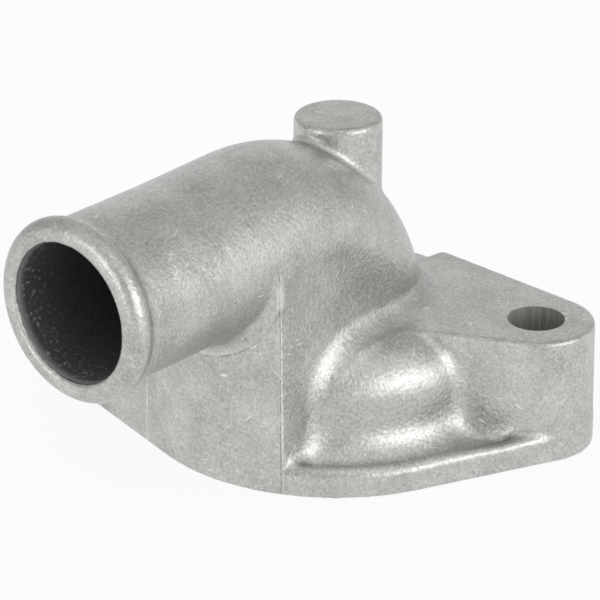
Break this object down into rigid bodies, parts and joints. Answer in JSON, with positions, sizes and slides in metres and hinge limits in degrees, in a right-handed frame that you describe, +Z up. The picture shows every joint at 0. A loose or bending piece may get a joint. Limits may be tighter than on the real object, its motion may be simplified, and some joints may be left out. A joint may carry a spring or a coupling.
{
  "type": "coolant outlet housing",
  "caption": "Cast coolant outlet: a domed round chamber on a lugged flange, with an elbow that turns to a beaded hose spigot and carries a plain round boss.",
  "frame": {"origin": "centre of the round flange, which is also the centre of the bolt circle, on the gasket face", "axes": "+Z up from the gasket face, -Y along the hose spigot towards its mouth, +X towards the right lug"},
  "size_m": [0.1019, 0.1121, 0.0629],
  "materials": {
    "casting": "satin"
  },
  "bodies": {
    "root": {"housing": "casting"}
  },
  "joints": []
}
